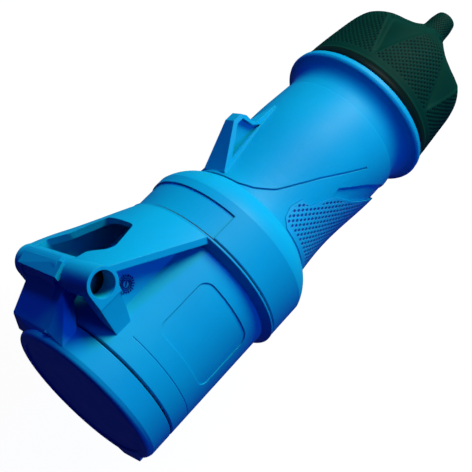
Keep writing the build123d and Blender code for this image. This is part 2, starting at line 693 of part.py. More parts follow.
with BuildPart() as rear_housing:
    add(handle.part)
    add(saddle_groove.part, mode=Mode.SUBTRACT)
    add(recess.part, mode=Mode.SUBTRACT)
    add(grip_pocket.part, mode=Mode.SUBTRACT)
    add(lock_ring.part.moved(Location((0, 0, ring_rise))))
    # Flared end and threaded tail
    with BuildSketch(Plane.XZ):
        with BuildLine():
            flare_foot = (flare_foot_x, handle_sections[-1][1] - 0.3)
            flare_corner = (flare_x - flare_edge, flare_r - flare_edge / 2)
            flare_middle = ((flare_foot[0] + flare_corner[0]) / 2, (flare_foot[1] + flare_corner[1]) / 2)
            ThreePointArc(flare_foot, (flare_middle[0] + 0.5, flare_middle[1] - 0.8), flare_corner)
            ThreePointArc(
                flare_corner, (flare_x - 0.35 * flare_edge, flare_r - 0.09 * flare_edge), (flare_x, flare_r))
            Polyline((flare_x, flare_r), (flare_x + flare_rim, flare_r - 0.2), (flare_x + flare_rim, tail_r),
                     (flare_x + tail_length, tail_r), (flare_x + tail_length, 0), (flare_foot[0], 0), flare_foot)
        make_face()
    revolve(axis=Axis.X)
    # Catch: the pad, and the slots beside its tongue
    extrude(outline([
        (catch_x - catch_length / 2, ring_r - 2), (catch_x - catch_length / 2 + 1, ring_r + catch_height),
        (catch_x + catch_length / 2 - 1, ring_r + catch_height), (catch_x + catch_length / 2, ring_r - 2)],
        Plane.XY.offset(-catch_half)), amount=2 * catch_half)
    for slot_z in (-catch_half - 2 * catch_slot, catch_half + catch_slot):
        extrude(outline([
            (catch_x - catch_length / 2, ring_r - 2 * catch_slot), (ring_end_x - 1, ring_r - 2 * catch_slot),
            (ring_end_x - 1, ring_r + 1), (catch_x - catch_length / 2, ring_r + 1)],
            Plane.XY.offset(slot_z)), amount=catch_slot, mode=Mode.SUBTRACT)
    add(fin.part)
    add(fin_pocket.part, mode=Mode.SUBTRACT)
    revolve(outline([
        (ring_start_x - 1, 0), (ring_start_x - 1, spigot_r + 0.1),
        (flange_back_x + spigot_length + 0.5, spigot_r + 0.1), (handle_bore_x, handle_bore_r),
        (cage_seat_x - 9, handle_bore_r), (cage_seat_x - 5, cage_seat_r), (cage_seat_x, cage_seat_r),
        (cage_seat_x, tail_bore_r), (flare_x + tail_length + 1, tail_bore_r), (flare_x + tail_length + 1, 0)]),
        axis=Axis.X, mode=Mode.SUBTRACT)
pieces["rear_housing"] = rear_housing
pieces["grip"] = grip

# Cable gland: sealing sleeve, clamping cage, pressure washer and the fluted nut
washer_x = nut_shoulder_x - 0.1 - washer_thickness
sleeve_end_x = washer_x - 0.3
cage_end_x = sleeve_end_x - 1.0
with BuildPart() as clamp_cage:
    revolve(outline([
        (cage_seat_x + seat_gap, cage_r - cage_wall), (cage_seat_x + seat_gap, cage_r),
        (cage_end_x - 4, cage_r), (cage_end_x, cage_r - cage_wall / 2), (cage_end_x, cage_r - cage_wall)]),
        axis=Axis.X)
    for slit in range(cage_slits // 2):
        with BuildSketch(Plane.YZ.offset(cage_seat_x + 7)):
            Rectangle(cage_slit, 3 * cage_r, rotation=slit * 360 / cage_slits)
        extrude(amount=cage_end_x - cage_seat_x, mode=Mode.SUBTRACT)
pieces["clamp_cage"] = clamp_cage

with BuildPart() as sealing_sleeve:
    sleeve_r = cage_r - cage_wall - seat_gap
    revolve(outline([
        (cage_seat_x + 0.6, grommet_bore_r + 1), (cage_seat_x + 0.6, sleeve_r), (sleeve_end_x, sleeve_r),
        (sleeve_end_x, grommet_bore_r + 1), (sleeve_end_x - 5, grommet_bore_r),
        (cage_seat_x + 6, grommet_bore_r)]), axis=Axis.X)
pieces["sealing_sleeve"] = sealing_sleeve

with BuildPart() as pressure_washer:
    revolve(outline([
        (washer_x, grommet_bore_r + 1.5), (washer_x, cage_r), (washer_x + washer_thickness, cage_r),
        (washer_x + washer_thickness, grommet_bore_r + 1.5)]), axis=Axis.X)
pieces["pressure_washer"] = pressure_washer

dome_points = [
    (163.0, 29.2), (172.0, 28.4), (177.5, 26.8), (181.0, 23.4), (186.0, 17.4), (191.0, 11.8),
    (nozzle_x, nozzle_foot_r)]

with BuildPart() as nut_body:
    with BuildSketch(Plane.XZ):
        with BuildLine():
            Polyline((nut_start_x, 0), (nut_start_x, nut_r - 0.4), (nut_start_x + 0.4, nut_r),
                     (nut_start_x + nut_band, nut_r), (nut_start_x + nut_band, nut_body_r),
                     (flute_start_x, nut_body_r))
            Spline((flute_start_x, nut_body_r), *dome_points)
            FilletPolyline(
                dome_points[-1], (nozzle_tip_x - 4, nozzle_r), (nozzle_tip_x, nozzle_tip_r), (nozzle_tip_x, 0),
                radius=(3.0, 0.9))
            Line((nozzle_tip_x, 0), (nut_start_x, 0))
        make_face()
    revolve(axis=Axis.X)

# One flute: its floor is the nut's own form moved in, and moved aside for a steep left wall
with BuildPart() as flute:
    extrude(outline([
        (flute_start_x, 0), (flute_wide_x, flute_half), (nozzle_x - 1, flute_end_half),
        (nozzle_x - 1, -flute_end_half), (flute_wide_x, -flute_half)], Plane.XY), amount=nut_r + 1)
    add(nut_body.part.moved(Location((-flute_lead, -flute_skew, -flute_depth))), mode=Mode.SUBTRACT)

with BuildPart() as gland_nut:
    add(nut_body.part)
    for turn in range(flute_count):
        add(flute.part.rotate(Axis.X, flute_angle + turn * 360 / flute_count), mode=Mode.SUBTRACT)
    thread_end_x = flare_x + tail_length + 1
    revolve(outline([
        (nut_start_x - 1, 0), (nut_start_x - 1, tail_r + thread_gap), (thread_end_x, tail_r + thread_gap),
        (thread_end_x, cage_r + thread_gap), (nut_shoulder_x, cage_r + thread_gap), (nut_shoulder_x, nut_cone_r),
        (nozzle_x - 8, nut_cone_r), (nozzle_x - 1, cable_bore_r), (nozzle_tip_x + 1, cable_bore_r),
        (nozzle_tip_x + 1, 0)]), axis=Axis.X, mode=Mode.SUBTRACT)
pieces["gland_nut"] = gland_nut

# Lay each piece down and write it
for name, piece in pieces.items():
    piece.part = piece.part.rotate(Axis.X, lying_roll)
    piece.part.label = name
    export_step(piece.part, f"parts/{name}.step")
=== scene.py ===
import math

import bmesh
import bpy
from mathutils import Matrix, Vector
from mathutils.geometry import interpolate_bezier


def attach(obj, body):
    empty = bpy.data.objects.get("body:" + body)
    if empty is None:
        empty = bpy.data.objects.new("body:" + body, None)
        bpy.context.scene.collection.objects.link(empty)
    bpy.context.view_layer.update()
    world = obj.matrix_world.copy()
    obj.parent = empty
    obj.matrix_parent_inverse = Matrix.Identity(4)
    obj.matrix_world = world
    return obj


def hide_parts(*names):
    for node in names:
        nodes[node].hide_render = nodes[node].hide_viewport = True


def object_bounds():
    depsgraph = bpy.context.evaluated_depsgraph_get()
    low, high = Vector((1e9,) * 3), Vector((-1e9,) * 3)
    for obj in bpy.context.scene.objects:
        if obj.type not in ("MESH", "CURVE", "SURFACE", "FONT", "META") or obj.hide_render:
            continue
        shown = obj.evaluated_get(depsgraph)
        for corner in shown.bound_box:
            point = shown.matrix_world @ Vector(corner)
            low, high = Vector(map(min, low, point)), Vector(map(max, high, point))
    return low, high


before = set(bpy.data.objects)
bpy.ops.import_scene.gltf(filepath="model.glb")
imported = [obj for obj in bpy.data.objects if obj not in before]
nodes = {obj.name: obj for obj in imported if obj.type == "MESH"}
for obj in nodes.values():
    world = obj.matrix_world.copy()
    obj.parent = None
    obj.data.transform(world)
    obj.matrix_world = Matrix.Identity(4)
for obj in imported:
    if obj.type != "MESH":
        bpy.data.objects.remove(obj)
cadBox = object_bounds()
print("frame loaded,", len(nodes), "nodes")

# New pieces are drawn in millimetres with the hinge up, then laid on the side like the CAD pieces.
lyingRoll = -107.5
metre = 0.001
layDown = Matrix.Rotation(math.radians(lyingRoll), 4, "X") @ Matrix.Scale(metre, 4)


# Camera and light

camera = {
    "place": (-0.0906, 0.3019, 0.2548),
    "right": (0.64138, -0.26411, 0.72032),
    "up": (0.66626, 0.65728, -0.35224),
    "back": (-0.38042, 0.70583, 0.59755),
    "lens": 87.01,
    "sensor": 36.0,
    "near": 0.01,
    "far": 20.0,
}


def addCamera():
    data = bpy.data.cameras.new("photoCamera")
    data.lens = camera["lens"]
    data.sensor_width = camera["sensor"]
    data.clip_start = camera["near"]
    data.clip_end = camera["far"]
    seat = bpy.data.objects.new("photoCamera", data)
    axes = [camera["right"], camera["up"], camera["back"]]
    turn = Matrix(axes).transposed().to_4x4()
    seat.matrix_world = Matrix.Translation(camera["place"]) @ turn
    bpy.context.collection.objects.link(seat)
    bpy.context.scene.camera = seat


def pictureWay(right, up, back):
    # a direction given by the picture's own sides, as a world direction
    way = Vector(camera["right"]) * right + Vector(camera["up"]) * up + Vector(camera["back"]) * back
    return way.normalized()


lamps = {
    "key": {"way": (0.52, 0.76, 0.39), "far": 1.60, "size": 0.90, "power": 36.5, "tint": (1.0, 1.0, 0.72)},
    "top": {"way": (-0.10, 0.86, 0.50), "far": 0.75, "size": 0.16, "power": 4.5, "tint": (0.02, 0.10, 1.0)},
    "over": {"way": (0.80, -0.10, 0.55), "far": 0.80, "size": 0.30, "power": 2.6, "tint": (0.02, 0.20, 1.0)},
}
lampsAim = Vector((0.10, 0.0, 0.0))


def addLamps():
    for name, lamp in lamps.items():
        light = bpy.data.lights.new(name + "Lamp", "AREA")
        light.shape = "DISK"
        light.size = lamp["size"]
        light.energy = lamp["power"]
        light.color = lamp["tint"]
        seat = bpy.data.objects.new(name + "Lamp", light)
        way = pictureWay(*lamp["way"])
        seat.location = lampsAim + way * lamp["far"]
        seat.rotation_euler = way.to_track_quat("Z", "Y").to_euler()
        bpy.context.collection.objects.link(seat)


surround = {"fill": (0.0, 0.01, 1.0), "strength": 0.13, "white": (1.0, 1.0, 1.0), "glossShare": 0.04}


def addMath(tree, operation, first, second=None, third=None):
    node = tree.nodes.new("ShaderNodeMath")
    node.operation = operation
    for socket, value in zip(node.inputs, (first, second, third)):
        if isinstance(value, (int, float)):
            socket.default_value = value
        elif value is not None:
            tree.links.new(value, socket)
    return node.outputs[0]


def whiteBehind(tree, shader, white):
    # the white is for the camera, and for a share of what gloss and clear parts show
    path = tree.nodes.new("ShaderNodeLightPath").outputs
    clear = addMath(tree, "MAXIMUM", path["Is Camera Ray"], path["Is Transmission Ray"])
    glossy = addMath(tree, "MULTIPLY", path["Is Glossy Ray"], surround["glossShare"])
    mix = tree.nodes.new("ShaderNodeMixShader")
    tree.links.new(addMath(tree, "MAXIMUM", clear, glossy), mix.inputs[0])
    tree.links.new(shader, mix.inputs[1])
    tree.links.new(white, mix.inputs[2])
    return mix.outputs[0]


def addWorld():
    world = bpy.data.worlds.new("surround")
    bpy.context.scene.world = world
    world.use_nodes = True
    tree = world.node_tree
    tree.nodes.clear()
    fill = tree.nodes.new("ShaderNodeBackground")
    fill.inputs["Color"].default_value = (*surround["fill"], 1.0)
    fill.inputs["Strength"].default_value = surround["strength"]
    white = tree.nodes.new("ShaderNodeBackground")
    white.inputs["Color"].default_value = (*surround["white"], 1.0)
    out = tree.nodes.new("ShaderNodeOutputWorld")
    tree.links.new(whiteBehind(tree, fill.outputs[0], white.outputs[0]), out.inputs["Surface"])


# the lid swings 11 mm below the plane on which the connector lies, so the floor is lower still
floorPlate = {"half": 1.6, "drop": 0.0115, "colour": (0.86, 0.87, 0.89), "bounce": (0.01, 0.02, 0.12),
              "shadowShare": 0.10, "glow": 1.08}


def addFloor(lowest):
    bm = bmesh.new()
    bmesh.ops.create_grid(bm, x_segments=1, y_segments=1, size=floorPlate["half"])
    bmesh.ops.translate(bm, verts=bm.verts, vec=(0, 0, lowest - floorPlate["drop"]))
    mesh = bpy.data.meshes.new("paleFloor")
    bm.to_mesh(mesh)
    bm.free()
    plate = bpy.data.objects.new("paleFloor", mesh)
    bpy.context.collection.objects.link(plate)
    material = bpy.data.materials.new("paleFloor")
    material.use_nodes = True
    tree = material.node_tree
    tree.nodes.clear()
    paint = tree.nodes.new("ShaderNodeBsdfDiffuse")
    paint.inputs["Color"].default_value = (*floorPlate["colour"], 1.0)
    glow = tree.nodes.new("ShaderNodeEmission")
    glow.inputs["Strength"].default_value = floorPlate["glow"]
    bounce = tree.nodes.new("ShaderNodeBsdfDiffuse")
    bounce.inputs["Color"].default_value = (*floorPlate["bounce"], 1.0)
    blend = tree.nodes.new("ShaderNodeMixShader")
    blend.inputs[0].default_value = floorPlate["shadowShare"]
    tree.links.new(glow.outputs[0], blend.inputs[1])
    tree.links.new(paint.outputs[0], blend.inputs[2])
    out = tree.nodes.new("ShaderNodeOutputMaterial")
    tree.links.new(whiteBehind(tree, bounce.outputs[0], blend.outputs[0]), out.inputs["Surface"])
    mesh.materials.append(material)


# Materials

def startMaterial(name):
    material = bpy.data.materials.new(name)
    material.use_nodes = True
    tree = material.node_tree
    shader = tree.nodes["Principled BSDF"]
    place = tree.nodes.new("ShaderNodeTexCoord")
    return material, tree, shader, place.outputs["Object"]


def addNoise(tree, place, scale, detail=2.0, rough=0.5):
    noise = tree.nodes.new("ShaderNodeTexNoise")
    noise.inputs["Scale"].default_value = scale
    noise.inputs["Detail"].default_value = detail
    noise.inputs["Roughness"].default_value = rough
    tree.links.new(place, noise.inputs["Vector"])
    return noise.outputs["Fac"]


noiseReach = (0.3, 0.7)


def addRange(tree, source, before, after=(0.0, 1.0), soft=False):
    ramp = tree.nodes.new("ShaderNodeMapRange")
    if soft:
        ramp.interpolation_type = "SMOOTHSTEP"
    ramp.inputs["From Min"].default_value, ramp.inputs["From Max"].default_value = before
    ramp.inputs["To Min"].default_value, ramp.inputs["To Max"].default_value = after
    tree.links.new(source, ramp.inputs["Value"])
    return ramp.outputs["Result"]


def mixColours(tree, share, first, second):
    # each colour is three numbers, or a socket that gives one
    mix = tree.nodes.new("ShaderNodeMix")
    mix.data_type = "RGBA"
    tree.links.new(share, mix.inputs["Factor"])
    for socket, colour in ((mix.inputs["A"], first), (mix.inputs["B"], second)):
        if isinstance(colour, tuple):
            socket.default_value = (*colour, 1.0)
        else:
            tree.links.new(colour, socket)
    return mix.outputs["Result"]


def coverColour(tree, share, colour):
    # lay a plain colour over what the shader has, as far as the share says
    base = tree.nodes["Principled BSDF"].inputs["Base Color"]
    tree.links.new(mixColours(tree, share, base.links[0].from_socket, colour), base)


edgeSamples = 4


def addBump(tree, shader, height, distance, strength=1.0, edge=0.0):
    bump = tree.nodes.new("ShaderNodeBump")
    bump.inputs["Distance"].default_value = distance
    bump.inputs["Strength"].default_value = strength
    tree.links.new(height, bump.inputs["Height"])
    if edge:
        rounding = tree.nodes.new("ShaderNodeBevel")
        rounding.samples = edgeSamples
        rounding.inputs["Radius"].default_value = edge
        tree.links.new(rounding.outputs["Normal"], bump.inputs["Normal"])
    tree.links.new(bump.outputs["Normal"], shader.inputs["Normal"])


plastics = {
    "blueHousing": {"light": (0.001, 0.375, 0.600), "dark": (0.001, 0.340, 0.570), "rough": (0.42, 0.52),
                    "grain": 2600.0, "depth": 0.000018, "edge": 0.00035, "gloss": 0.10},
    "blueLid": {"light": (0.001, 0.350, 0.590), "dark": (0.001, 0.315, 0.560), "rough": (0.42, 0.52),
                "grain": 2600.0, "depth": 0.000018, "edge": 0.00035, "gloss": 0.10},
    # painted shade: the moulded dial is coloured dark navy, darker than the housing it is moulded on
    "dialPaintedShade": {"light": (0.001, 0.018, 0.160), "dark": (0.001, 0.012, 0.120), "rough": (0.40, 0.50),
                 "grain": 2600.0, "depth": 0.00001, "edge": 0.0, "gloss": 0.3},
    "softGrip": {"light": (0.001, 0.390, 0.640), "dark": (0.001, 0.350, 0.600), "rough": (0.46, 0.58),
                 "grain": 3400.0, "depth": 0.000022, "edge": 0.0, "gloss": 0.35},
    "glandGreen": {"light": (0.0004, 0.036, 0.023), "dark": (0.0003, 0.029, 0.018), "rough": (0.56, 0.68),
                   "grain": 3000.0, "depth": 0.000015, "edge": 0.0, "gloss": 0.04},
    "glandBlack": {"light": (0.0012, 0.010, 0.009), "dark": (0.0008, 0.007, 0.006), "rough": (0.42, 0.52),
                   "grain": 3000.0, "depth": 0.00001, "edge": 0.0, "gloss": 0.04},
    "carrierBlack": {"light": (0.012, 0.013, 0.015), "dark": (0.008, 0.009, 0.010), "rough": (0.42, 0.55),
                     "grain": 2200.0, "depth": 0.000015, "edge": 0.0002, "gloss": 0.4},
    "innerGrey": {"light": (0.36, 0.37, 0.37), "dark": (0.30, 0.31, 0.31), "rough": (0.45, 0.58),
                  "grain": 2200.0, "depth": 0.000015, "edge": 0.0002, "gloss": 0.4},
    "sealRubber": {"light": (0.012, 0.012, 0.013), "dark": (0.007, 0.007, 0.008), "rough": (0.62, 0.78),
                   "grain": 3000.0, "depth": 0.00003, "edge": 0.0002, "gloss": 0.3},
}
# the nut's own green, which gets painted shade in the knurl's hollows on top
plastics["knurledGreen"] = plastics["glandGreen"]
moulding = {"clouds": (45.0, 3.0), "polish": (160.0, 4.0, 0.6), "grain": (2.0, 0.6), "strength": 0.7}


def makePlastic(name):
    # moulded face: a fine eroded grain, faint flow clouds in the colour and an uneven polish
    look = plastics[name]
    material, tree, shader, place = startMaterial(name)
    clouds = addRange(tree, addNoise(tree, place, *moulding["clouds"]), noiseReach)
    tree.links.new(mixColours(tree, clouds, look["dark"], look["light"]), shader.inputs["Base Color"])
    polish = addNoise(tree, place, *moulding["polish"])
    tree.links.new(addRange(tree, polish, noiseReach, look["rough"]), shader.inputs["Roughness"])
    shader.inputs["Specular IOR Level"].default_value = look["gloss"]
    grain = addNoise(tree, place, look["grain"], *moulding["grain"])
    addBump(tree, shader, grain, look["depth"], moulding["strength"], look["edge"])
    return material


# the dark is painted shade for the dimples' hollows
dimples = {
    "column": 1.45, "around": 76, "wave": (0.06, 0.62), "depth": 0.00040, "dark": (0.001, 0.040, 0.300),
    "ends": (78.8, 125.8), "soft": 0.5, "low": -30.0, "rise": 40.0,
    "edge": ((77.3, 3.0), (79.6, 6.5), (84.0, 7.8), (88.6, 6.8), (91.0, 2.2), (100.6, -2.1), (107.3, -10.5),
             (121.0, -22.2), (127.5, -26.0)),
}


def edgeCurve(tree, x):
    # the grip's outline seen from the side, as a curve of height over length
    points = dimples["edge"]
    low, high = points[0][0], points[-1][0]
    curve = tree.nodes.new("ShaderNodeFloatCurve")
    line = curve.mapping.curves[0]
    for i, (spot, height) in enumerate(points):
        share = ((spot - low) / (high - low), (height - dimples["low"]) / dimples["rise"])
        if i in (0, len(points) - 1):
            line.points[0 if i == 0 else -1].location = share
        else:
            line.points.new(*share)
    for point in line.points:
        point.handle_type = "VECTOR"
    curve.mapping.update()
    along = addMath(tree, "DIVIDE", addMath(tree, "SUBTRACT", x, low), high - low)
    tree.links.new(along, curve.inputs["Value"])
    return addMath(tree, "MULTIPLY_ADD", curve.outputs["Value"], dimples["rise"], dimples["low"])


def addDimples(material):
    # staggered dimples round the grip, with a plain rim along its outline, their hollows coloured darker as
    # painted shade
    tree = material.node_tree
    shader = tree.nodes["Principled BSDF"]
    place = tree.nodes.new("ShaderNodeTexCoord").outputs["Object"]
    stand = tree.nodes.new("ShaderNodeMapping")
    stand.inputs["Rotation"].default_value = (math.radians(-lyingRoll), 0.0, 0.0)
    stand.inputs["Scale"].default_value = (1.0 / metre,) * 3
    tree.links.new(place, stand.inputs["Vector"])
    parts = tree.nodes.new("ShaderNodeSeparateXYZ")
    tree.links.new(stand.outputs["Vector"], parts.inputs[0])
    x, y, z = parts.outputs
    angle = addMath(tree, "ARCTAN2", y, z)
    acrossWave = addMath(tree, "COSINE", addMath(tree, "MULTIPLY", x, math.pi / dimples["column"]))
    roundWave = addMath(tree, "COSINE", addMath(tree, "MULTIPLY", angle, dimples["around"]))
    wave = addMath(tree, "MULTIPLY", acrossWave, roundWave)
    soft = dimples["soft"]
    inside = addMath(tree, "DIVIDE", addMath(tree, "SUBTRACT", edgeCurve(tree, x), z), soft)
    front = addMath(tree, "DIVIDE", addMath(tree, "SUBTRACT", x, dimples["ends"][0]), soft)
    rear = addMath(tree, "DIVIDE", addMath(tree, "SUBTRACT", dimples["ends"][1], x), soft)
    room = addMath(tree, "MINIMUM", addMath(tree, "MINIMUM", inside, front), rear)
    room = addMath(tree, "MINIMUM", addMath(tree, "MAXIMUM", room, 0.0), 1.0)
    hollow = addMath(tree, "MULTIPLY", addRange(tree, wave, dimples["wave"], soft=True), room)
    # painted shade: the dimples' hollows are coloured a darker blue
    coverColour(tree, hollow, dimples["dark"])
    bump = tree.nodes.new("ShaderNodeBump")
    bump.invert = True
    bump.inputs["Distance"].default_value = dimples["depth"]
    tree.links.new(hollow, bump.inputs["Height"])
    tree.links.new(shader.inputs["Normal"].links[0].from_socket, bump.inputs["Normal"])
    tree.links.new(bump.outputs["Normal"], shader.inputs["Normal"])


def paintShadeInHollows(material, dark):
    # painted shade: the knurl's hollows are coloured near black, from the nut's own attribute
    hollow = material.node_tree.nodes.new("ShaderNodeAttribute")
    hollow.attribute_name = "hollow"
    coverColour(material.node_tree, hollow.outputs["Fac"], dark)


turning = {"stains": (260.0, 4.0), "stretch": (6000.0, 300.0, 300.0), "depth": 0.000008, "strength": 0.5,
           "edge": 0.0001}
metals = {
    "brightSteel": {"light": (0.62, 0.63, 0.65), "dark": (0.45, 0.46, 0.48), "rough": (0.22, 0.38)},
    "blackSteel": {"light": (0.045, 0.045, 0.05), "dark": (0.03, 0.03, 0.033), "rough": (0.30, 0.45)},
    "contactBrass": {"light": (0.76, 0.56, 0.26), "dark": (0.60, 0.42, 0.18), "rough": (0.18, 0.34)},
}


def makeMetal(name):
    look = metals[name]
    material, tree, shader, place = startMaterial(name)
    shader.inputs["Metallic"].default_value = 1.0
    stains = addRange(tree, addNoise(tree, place, *turning["stains"]), noiseReach)
    tree.links.new(mixColours(tree, stains, look["dark"], look["light"]), shader.inputs["Base Color"])
    # turning marks run round the piece, so the noise is stretched along the axis of the connector
    drawn = tree.nodes.new("ShaderNodeMapping")
    drawn.inputs["Scale"].default_value = turning["stretch"]
    tree.links.new(place, drawn.inputs["Vector"])
    marks = addNoise(tree, drawn.outputs["Vector"], 1.0)
    tree.links.new(addRange(tree, marks, noiseReach, look["rough"]), shader.inputs["Roughness"])
    addBump(tree, shader, marks, turning["depth"], turning["strength"], turning["edge"])
    return material


finishes = {
    "front_housing": "blueHousing", "rear_housing": "blueHousing", "lid": "blueLid", "grip": "softGrip",
    "gland_nut": "glandGreen", "pressure_washer": "glandGreen", "clamp_cage": "innerGrey",
    "sealing_sleeve": "sealRubber", "lid_seal": "sealRubber", "body_gasket": "sealRubber",
    "contact_carrier": "carrierBlack", "carrier_cover": "innerGrey", "carrier_screws": "brightSteel",
    "contact_sleeve_earth": "contactBrass", "contact_sleeve_line": "contactBrass",
    "contact_sleeve_neutral": "contactBrass", "contact_springs": "brightSteel",
    "terminal_screws": "brightSteel", "hinge_pin": "blackSteel", "lid_spring": "brightSteel",
}


def dressNodes(materials):
    for name, finish in finishes.items():
        mesh = nodes[name].data
        mesh.materials.clear()
        mesh.materials.append(materials[finish])


# Shapes

weld = {"drawn": 0.0001, "loaded": 0.000002}


def layPiece(bm, name, smooth=True):
    # a finished piece in metres, lying as the CAD pieces lie
    bmesh.ops.transform(bm, matrix=layDown, verts=bm.verts)
    mesh = bpy.data.meshes.new(name)
    for face in bm.faces:
        face.smooth = smooth
    bm.to_mesh(mesh)
    bm.free()
    piece = bpy.data.objects.new(name, mesh)
    bpy.context.collection.objects.link(piece)
    return piece


def smoothLine(points, step):
    # a smooth line through the points, with a vertex about every step
    line = [Vector(points[0])]
    for i in range(len(points) - 1):
        here, there = Vector(points[i]), Vector(points[i + 1])
        before = Vector(points[max(i - 1, 0)])
        after = Vector(points[min(i + 2, len(points) - 1)])
        count = max(2, round((there - here).length / step) + 1)
        leave, arrive = here + (there - before) / 6, there - (after - here) / 6
        line += interpolate_bezier(here, leave, arrive, there, count)[1:]
    return line


def spinLoop(bm, points, steps):
    # a round body from a closed loop of points, each an x and a radius
    verts = [bm.verts.new((x, 0.0, r)) for x, r in points]
    for first, second in zip(verts, verts[1:]):
        bm.edges.new((first, second))
    bmesh.ops.spin(bm, geom=bm.verts[:] + bm.edges[:], axis=(1, 0, 0), cent=(0, 0, 0),
                   angle=2 * math.pi, steps=steps, use_merge=True)
    bmesh.ops.remove_doubles(bm, verts=bm.verts, dist=weld["drawn"])
    bmesh.ops.recalc_face_normals(bm, faces=bm.faces)


def softStep(low, high, value):
    share = min(1.0, max(0.0, (value - low) / (high - low)))
    return share * share * (3.0 - 2.0 * share)


def alongTable(table, x):
    # straight lines between the pairs of a short table
    for (x0, y0), (x1, y1) in zip(table, table[1:]):
        if x <= x1:
            return y0 + (y1 - y0) * max(0.0, x - x0) / (x1 - x0)
    return table[-1][1]


# Gland nut: the lobed body with its knurl and six flutes

nut = {
    "line": ((152.6, 30.0), (163.0, 29.2), (172.0, 28.4), (177.5, 26.8), (181.0, 23.4), (186.0, 17.4),
             (191.0, 11.8), (196.0, 7.3)),
    "nozzle": ((196.0, 7.3), (197.6, 6.0), (200.0, 5.4), (204.4, 5.1), (207.7, 4.5)),
    "tip": ((208.2, 4.3), (208.4, 3.9)),
    "bore": ((208.4, 3.4), (195.0, 3.4), (188.0, 8.6), (178.0, 8.6), (178.0, 20.4), (163.1, 20.4),
             (163.1, 25.6), (145.9, 25.6)),
    "band": (145.9, 149.9, 30.2), "bandEdge": 0.4, "shoulder": 151.2,
    "around": 336, "rowStep": 0.27, "nozzleStep": 0.28,
}
# points of the bore lie within the first radius, or within the second one up to that x
boreReach = {"nozzle": 4.2, "thread": 26.0, "threadEnd": 177.0}

# a flute starts as a point, is widest at the nut's shoulder, and has a deep side and a shallow one
flutes = {
    "pitch": 60.0, "first": 35.0, "half": ((152.6, 0.0), (177.0, 8.8), (196.5, 2.4)), "endRadius": 8.0,
    "depth": ((152.6, 0.7), (163.0, 1.2), (172.0, 1.6), (178.0, 1.9), (184.0, 2.0), (190.0, 1.5),
              (196.5, 0.2)),
    "lean": (1.05, 0.75), "deepWall": 1.9, "shallowWall": 0.7,
}

# short dashes in staggered rows, with a plain rim along the flutes
knurl = {
    "dashes": 84, "row": 1.08, "depth": 0.45, "fullRadius": 20.0, "start": (152.9, 153.9), "rim": (0.28, 0.7),
    # the dark is painted shade for the dashes' hollows
    "wave": (0.04, 0.55), "dark": (0.0003, 0.003, 0.003),
    "nozzleDashes": 28, "nozzleRow": 0.95, "nozzleDepth": 0.14, "nozzleEnd": (206.4, 207.5),
}


def fluteCut(x, radius, angle):
    # how deep a flute is at a point of the nut, and how far the point is from the flute's edge
    turn = (angle - flutes["first"] + flutes["pitch"] / 2) % flutes["pitch"] - flutes["pitch"] / 2
    side = -radius * math.sin(math.radians(turn))
    half = alongTable(flutes["half"], x)
    inside = half - abs(side)
    if x < flutes["half"][0][0] or inside <= 0.0 or radius < flutes["endRadius"]:
        return 0.0, -inside
    middle, lean = flutes["lean"]
    floor = alongTable(flutes["depth"], x) * (middle + lean * side / half)
    deep = softStep(0.0, 1.0, (half - side) / flutes["deepWall"])
    shallow = softStep(0.0, 1.0, (half + side) / flutes["shallowWall"])
    return floor * min(deep, shallow), 0.0


def dashShare(run, angle, count, row):
    wave = math.cos(math.pi * run / row) * math.cos(math.radians(angle) * count)
    return softStep(*knurl["wave"], wave)


def nutCut(x, radius, angle, run):
    # how far a point of the nut sinks, and how far it is in a dash of the knurl
    if x >= nut["nozzle"][0][0]:
        dash = dashShare(run, angle, knurl["nozzleDashes"], knurl["nozzleRow"])
        dash *= 1.0 - softStep(*knurl["nozzleEnd"], x)
        return knurl["nozzleDepth"] * dash, dash
    flute, away = fluteCut(x, radius, angle)
    if flute:
        return flute, 0.0
    dash = dashShare(run, angle, knurl["dashes"], knurl["row"]) * softStep(*knurl["start"], x)
    if radius > flutes["endRadius"]:
        dash *= softStep(*knurl["rim"], away)
    return knurl["depth"] * min(1.0, radius / knurl["fullRadius"]) * dash, dash


def runLengths(points):
    # the way along the line up to each of its points, found by their x
    runs, run, last = {}, 0.0, points[0]
    for point in points:
        run += math.hypot(point.x - last.x, point.y - last.y)
        runs[round(point.x, 3)] = run
        last = point
    return runs


def makeNut():
    bm = bmesh.new()
    bandStart, bandEnd, bandRadius = nut["band"]
    edge = nut["bandEdge"]
    bodyRadius = nut["line"][0][1]
    start = [(bandStart, bandRadius - edge), (bandStart + edge, bandRadius), (bandEnd, bandRadius),
             (bandEnd, bodyRadius), (nut["shoulder"], bodyRadius)]
    outer = smoothLine(nut["line"], nut["rowStep"])
    nozzle = smoothLine(nut["nozzle"], nut["nozzleStep"])
    spinLoop(bm, [*start, *outer, *nozzle[1:], *nut["tip"], *nut["bore"], start[0]], nut["around"])
    runs = runLengths(outer + nozzle)
    hollow = bm.verts.layers.float.new("hollow")
    for vert in bm.verts:
        x = vert.co.x
        radius = math.hypot(vert.co.y, vert.co.z)
        run = runs.get(round(x, 3))
        inThread = radius < boreReach["thread"] and x < boreReach["threadEnd"]
        if run is None or radius < boreReach["nozzle"] or inThread:
            continue
        angle = math.degrees(math.atan2(-vert.co.y, vert.co.z))
        cut, vert[hollow] = nutCut(x, radius, angle, run)
        vert.co.y *= 1.0 - cut / radius
        vert.co.z *= 1.0 - cut / radius
    return layPiece(bm, "ribbedNut")


# Blocks on the lid: the foot of its arm with the cheek beside it, and the flat plate of its hood

